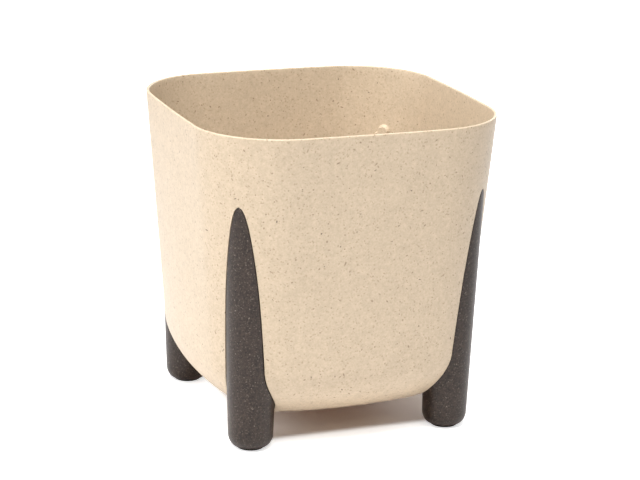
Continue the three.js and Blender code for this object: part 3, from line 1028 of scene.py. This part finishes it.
def leg_point(sizes, index):
    """The place of one point of a leg's skin, from its number in the grid."""
    column = whole((index + HALF_STEP) / LEG_ROWS)
    row = index - column * LEG_ROWS
    number = size_of(column - HALF_ROUND)
    way = 2 * above(column, HALF_ROUND) - 1
    height, bar, bar_reach = leg_row(sizes, row)
    line, across = leg_outline(sizes, height, bar, bar_reach, number)

    # The first row is drawn in to the foot's middle, and the last one closes the tip
    opened = along(row, 0, FIRST_FOOT)
    closed = 1 - along(row, LAST_FACE, 1)
    return bar_reach + line * opened, across * opened * closed * way, height


def parting_height(sizes):
    """The height at which the leg's bar first meets the bowl, found by halving."""
    low, high = sizes.underside, bowl_top(sizes)
    for _ in range(HALVINGS):
        height = (low + high) / 2
        radius, centre = leg_bar(sizes, height)
        if wall_reach(sizes, height) - skin_inset(sizes, height, 0) > centre - radius:
            high = height
        else:
            low = height
    return high


def face_top(sizes):
    """The height at which the leg's face, drawn in by its inset, narrows to nothing."""
    low, high = bowl_top(sizes), sizes.leg_tip
    for _ in range(HALVINGS):
        height = (low + high) / 2
        radius, centre = leg_bar(sizes, height)
        shape = section(sizes, height)
        half_width = crossing(shape.corner_radius - sizes.leg_inset, radius, centre - shape.corner_reach)
        if half_width > sizes.leg_inset:
            low = height
        else:
            high = height
    return high


leg_low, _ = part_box("leg_front_left")
SIZES.leg_bottom = leg_low.z
SIZES.leg_parting = parting_height(SIZES)
SIZES.face_tip = SIZES.leg_tip
HOLLOW = SimpleNamespace(**vars(SIZES))
HOLLOW.leg_inset = LEG_WALL
HOLLOW.leg_bottom = SIZES.leg_bottom + LEG_WALL
HOLLOW.recess_depth = SIZES.recess_depth + HOLLOW_PAST_BACK
HOLLOW.leg_parting = parting_height(HOLLOW)
HOLLOW.face_tip = face_top(HOLLOW)

# The same plastic coloured dark grey-brown, so that its fibres show paler than the rest
DARK_LOOK = SimpleNamespace(
    darkest=(0.012, 0.0080, 0.0058, 1),
    lightest=(0.050, 0.0330, 0.0255, 1),
    patches={0.020: 0.2, 0.0045: 0.4, 0.0018: 0.8},
    fibres=[
        SimpleNamespace(
            spacing=0.0020, length=0.0018, width=0.0012, share=0.9,
            colour=(0.110, 0.085, 0.068, 1), least=0, varied=0.7, relief=0,
        ),
        SimpleNamespace(
            spacing=0.0034, length=0.0024, width=0.0012, share=0.7,
            colour=(0.150, 0.118, 0.096, 1), least=0, varied=0.8, relief=0.3,
        ),
        SimpleNamespace(
            spacing=0.0090, length=0.0028, width=0.0012, share=0.35,
            colour=(0.22, 0.178, 0.145, 1), least=0.3, varied=0.5, relief=0.4,
        ),
    ],
    roughness=0.36,
    roughness_change=0.06,
    roughness_grain=0.004,
    metallic=0,
    specular=0.28,
    skin_grain=0.0012,
    skin_height=0.4,
    bump_strength=0.3,
    bump_distance=0.00005,
)
dark = surface_finish("dark_composite", DARK_LOOK)


def leg_rib(height):
    """A level rib across the leg's hollow, from this height up."""
    _, centre = leg_bar(SIZES, height)
    half = SIZES.leg_top_radius
    return bar_of("rib", (centre - half, -half, height), (centre + half, half, height + RIB_THICKNESS))


def leg_web(half_across, half_out):
    """An upright web between the leg's post and its walls."""
    low = (SCREW_REACH - half_out, -half_across, 0)
    high = (SCREW_REACH + half_out, half_across, bowl_top(SIZES))
    return bar_of("web", low, high)


leg_tree, leg_sizes, leg_index = new_tree("leg_shape", SIZES)
close_tree(leg_tree, LEG_COLUMNS, LEG_ROWS, leg_point(leg_sizes, leg_index), dark)
leg_block = made_by(leg_tree, "leg_block", SIZES, dark)
hollow = made_by(leg_tree, "leg_hollow", HOLLOW, dark)

# The post, the webs and the ribs are taken out of the hollow before it is cut from the leg
post_radius = COUNTERBORE_RADIUS + LEG_WALL
web_half_width = SIZES.leg_top_radius
kept = [
    rod_of("post", post_radius, 0, bowl_top(SIZES)),
    leg_web(RIB_THICKNESS / 2, web_half_width),
    leg_web(web_half_width, RIB_THICKNESS / 2),
]
rib_height = FIRST_RIB_HEIGHT
while rib_height < SIZES.leg_tip:
    kept.append(leg_rib(rib_height))
    rib_height += RIB_SPACING
for kept_part in kept:
    combine(hollow, "DIFFERENCE", kept_part)
combine(leg_block, "DIFFERENCE", hollow)
combine(leg_block, "DIFFERENCE", rod_of("counterbore", COUNTERBORE_RADIUS, 0, SCREW_SEAT_HEIGHT))
combine(leg_block, "DIFFERENCE", rod_of("screw_hole", SCREW_HOLE_RADIUS, 0, bowl_top(SIZES)))
leg_block.data.set_sharp_from_angle(angle=LEG_SHARP_ANGLE)
for corner_name, corner_turn in CORNERS.items():
    leg = at_corner(leg_block, f"leg_shell_{corner_name}", corner_turn)
    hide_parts(f"leg_{corner_name}")
    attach(leg, "planter")
bpy.data.objects.remove(leg_block)


# Leg screws: zinc-plated steel, driven from below through a leg's post into the pot's boss. They
# keep their CAD shape, and the pad below hides them.
ZINC_LOOK = SimpleNamespace(
    darkest=(0.52, 0.53, 0.54, 1),
    lightest=(0.72, 0.72, 0.70, 1),
    patches={0.003: 0.6},
    fibres=[],
    roughness=0.35,
    roughness_change=0.12,
    roughness_grain=0.0015,
    metallic=1,
    specular=0.5,
    skin_grain=0.0004,
    skin_height=1,
    bump_strength=0.2,
    bump_distance=0.00003,
)
zinc = surface_finish("zinc_steel", ZINC_LOOK)
for corner_name in CORNERS:
    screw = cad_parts[f"leg_screw_{corner_name}"]
    for screw_slot in screw.material_slots:
        screw_slot.material = zinc


# Foot pads: thin black rubber discs that keep the legs from sliding. A hollow stem on each is
# pressed up into the leg's counterbore.
PAD_THICKNESS = 0.0016
PAD_STEM_WALL = 0.0018
PAD_EDGE = 0.0005
STEM_PLAY = 0.0003
RUBBER_LOOK = SimpleNamespace(
    darkest=(0.010, 0.010, 0.010, 1),
    lightest=(0.022, 0.021, 0.020, 1),
    patches={0.006: 0.5, 0.001: 0.5},
    fibres=[],
    roughness=0.7,
    roughness_change=0.1,
    roughness_grain=0.002,
    metallic=0,
    specular=0.5,
    skin_grain=0.0006,
    skin_height=1,
    bump_strength=0.4,
    bump_distance=0.00005,
)
rubber = surface_finish("black_rubber", RUBBER_LOOK)
pad_low, pad_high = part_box("foot_pad_front_left")
pad_radius = (pad_high.x - pad_low.x) / 2
stem_radius = COUNTERBORE_RADIUS - STEM_PLAY
stem_inside = stem_radius - PAD_STEM_WALL
pad_outline = [
    (0, 0),
    (pad_radius, 0),
    (pad_radius, PAD_THICKNESS),
    (stem_radius, PAD_THICKNESS),
    (stem_radius, pad_high.z),
    (stem_inside, pad_high.z),
    (stem_inside, PAD_THICKNESS),
    (0, PAD_THICKNESS),
]
pad_block = turned("pad_block", softened(pad_outline, PAD_EDGE), SCREW_REACH, rubber)
for corner_name, corner_turn in CORNERS.items():
    pad = at_corner(pad_block, f"foot_pad_disc_{corner_name}", corner_turn)
    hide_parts(f"foot_pad_{corner_name}")
    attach(pad, "planter")
bpy.data.objects.remove(pad_block)


# Drain stopper: a soft rubber plug in the hole of the pot's floor, with a flange that lies on the
# floor and a knob to pull it out by.
STOPPER_FLANGE_THICKNESS = 0.0024
STOPPER_NECK_RADIUS = 0.002
STOPPER_KNOB_RADIUS = 0.004
STOPPER_EDGE = 0.0008
KNOB_EDGE = 0.0014
PLUG_PLAY = 0.0004

stopper_low, stopper_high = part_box("drain_stopper")
floor_top = pot_low.z + WALL
flange_bottom = floor_top + SEAT_GAP
flange_top = flange_bottom + STOPPER_FLANGE_THICKNESS
plug_radius = DRAIN_RADIUS - PLUG_PLAY
knob_height = stopper_high.z - flange_top
plug_outline = [
    (0, stopper_low.z),
    (plug_radius, stopper_low.z),
    (plug_radius, flange_bottom),
    (stopper_high.x, flange_bottom),
    (stopper_high.x, flange_top),
    (STOPPER_NECK_RADIUS, flange_top),
]
knob_outline = [
    (STOPPER_NECK_RADIUS, flange_top + knob_height / 2),
    (STOPPER_KNOB_RADIUS, flange_top + knob_height * 2 / 3),
    (STOPPER_KNOB_RADIUS, stopper_high.z),
    (0, stopper_high.z),
]
stopper_outline = softened(plug_outline, STOPPER_EDGE) + softened(knob_outline, KNOB_EDGE)
stopper = turned("stopper_plug", stopper_outline, 0, rubber)
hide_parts("drain_stopper")
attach(stopper, "stopper")
